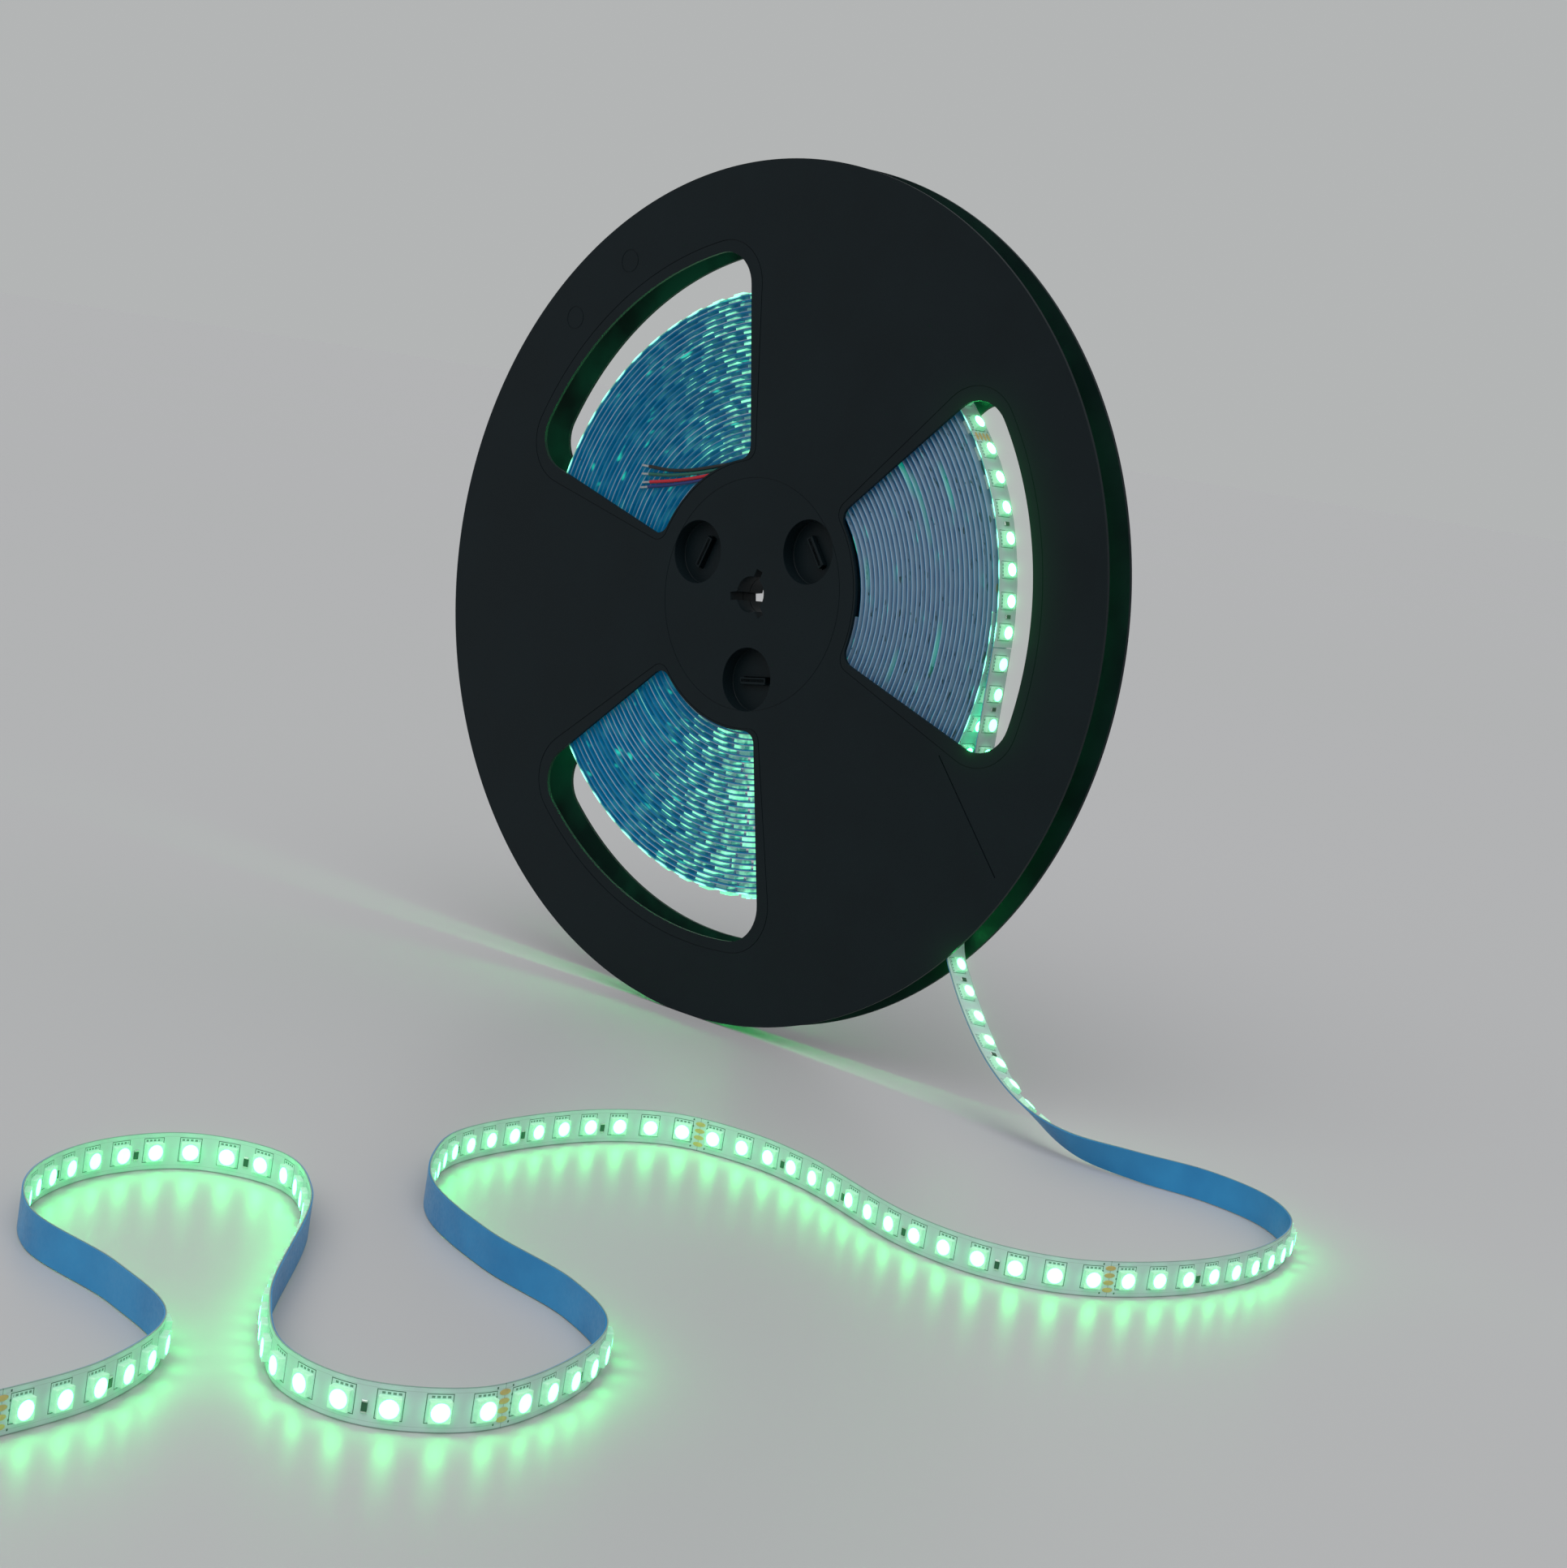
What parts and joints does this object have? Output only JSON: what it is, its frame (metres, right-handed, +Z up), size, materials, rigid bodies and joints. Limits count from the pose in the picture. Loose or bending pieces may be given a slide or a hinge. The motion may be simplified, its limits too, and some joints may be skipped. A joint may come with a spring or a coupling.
{
  "type": "led strip reel",
  "caption": "LED strip wound on a two-part plastic reel with three windows; the loose end hangs from the roll and runs on edge over the floor.",
  "frame": {"origin": "on the floor under the middle of the reel, between its two flanges", "axes": "+Y along the reel's axis from the front flange to the back one, +Z up, +X to the side where the strip leaves the roll"},
  "size_m": [0.4455, 0.4726, 0.3097],
  "materials": {
    "black_plastic": "moulded black plastic, fine satin",
    "strip_roll": "wound strip edges with blue backing tape",
    "strip_tail": "white flexible circuit board with blue backing tape",
    "black_wire": "black wire insulation",
    "green_wire": "green wire insulation",
    "red_wire": "red wire insulation",
    "blue_wire": "blue wire insulation",
    "tinned_wire": "tinned copper strands"
  },
  "bodies": {
    "root": {"front_flange": "black_plastic", "front_hub": "black_plastic", "front_sleeve": "black_plastic", "back_flange": "black_plastic", "back_hub": "black_plastic", "back_sleeve": "black_plastic", "strip_roll": "strip_roll", "strip_tail": "strip_tail", "black_wire": "black_wire", "green_wire": "green_wire", "red_wire": "red_wire", "blue_wire": "blue_wire", "black_wire_tip": "tinned_wire", "green_wire_tip": "tinned_wire", "red_wire_tip": "tinned_wire", "blue_wire_tip": "tinned_wire"}
  },
  "joints": []
}
